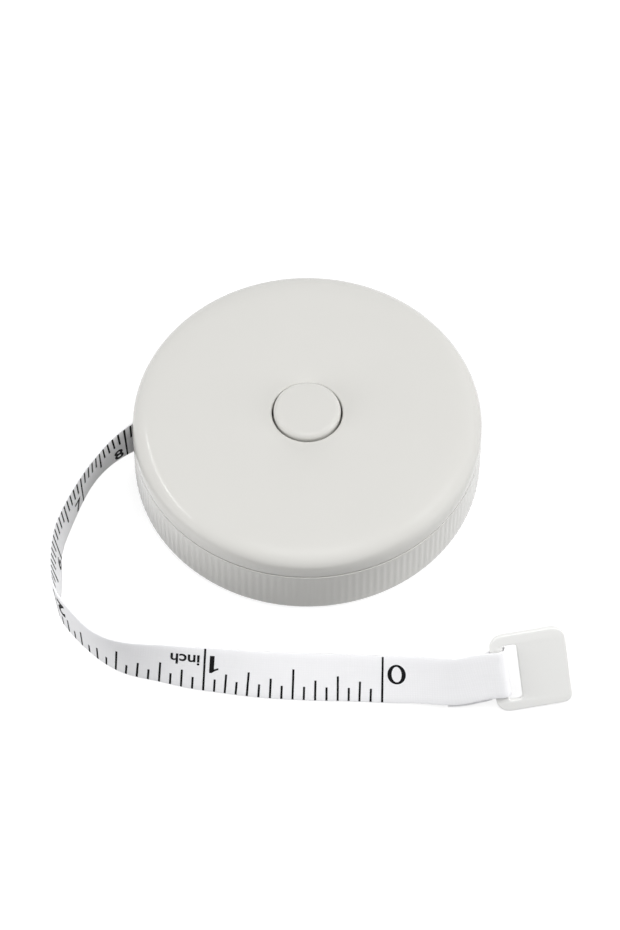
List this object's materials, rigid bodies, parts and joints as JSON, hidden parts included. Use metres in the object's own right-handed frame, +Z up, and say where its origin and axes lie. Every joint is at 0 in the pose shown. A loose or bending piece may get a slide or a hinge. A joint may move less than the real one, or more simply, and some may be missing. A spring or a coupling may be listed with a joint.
{
  "type": "retractable cloth tape measure",
  "caption": "Round two-shell case with a push-button brake and a sprung drum; a printed cloth tape leaves by a side mouth and ends in a slotted flat tab.",
  "frame": {"origin": "middle of the case's flat base, on the surface that it lies on", "axes": "+Z up along the drum's axis and the button's travel; -X towards the mouth; the free tape turns round the left and comes along the front, -Y, towards +X"},
  "size_m": [0.0747, 0.0679, 0.0146],
  "materials": {
    "case_abs": "moulded off-white ABS, soft gloss",
    "button_abs": "moulded off-white ABS, soft gloss",
    "tab_plastic": "moulded warm grey-white plastic, satin",
    "tape_cloth": "coated white glass-fibre cloth with black print",
    "acetal": "moulded natural acetal",
    "rubber": "black rubber, matt",
    "spring_steel": "hardened spring steel, bare"
  },
  "bodies": {
    "case": {"upper_shell": "case_abs", "lower_shell": "case_abs", "power_spring": "spring_steel", "button_spring": "spring_steel", "free_tape": "tape_cloth"},
    "button": {"push_button": "button_abs", "brake_disc": "acetal", "brake_lining": "rubber"},
    "reel": {"drum": "acetal", "drum_cover": "acetal", "brake_ring": "acetal", "tape_winding": "tape_cloth"},
    "tab": {"end_tab": "tab_plastic"}
  },
  "joints": [
    {"name": "button_press", "type": "slide", "parent": "case", "child": "button", "axis": [0, 0, -1], "range_m": [0, 0.0011], "stiffness_N_per_m": 800, "springref_m": -0.001, "deforming": ["button_spring"]},
    {"name": "drum_spin", "type": "hinge", "parent": "case", "child": "reel", "pos_m": [0, 0, 0.0065], "axis": [0, 0, 1], "range_deg": [-320, 5500], "deforming": ["power_spring", "free_tape"]},
    {"name": "tab_swing", "type": "hinge", "parent": "case", "child": "tab", "pos_m": [0.02718, -0.0393, 0.00557], "axis": [-0.1354, 0.4713, 0.8716], "range_deg": [-120, 6], "deforming": ["free_tape"]}
  ]
}
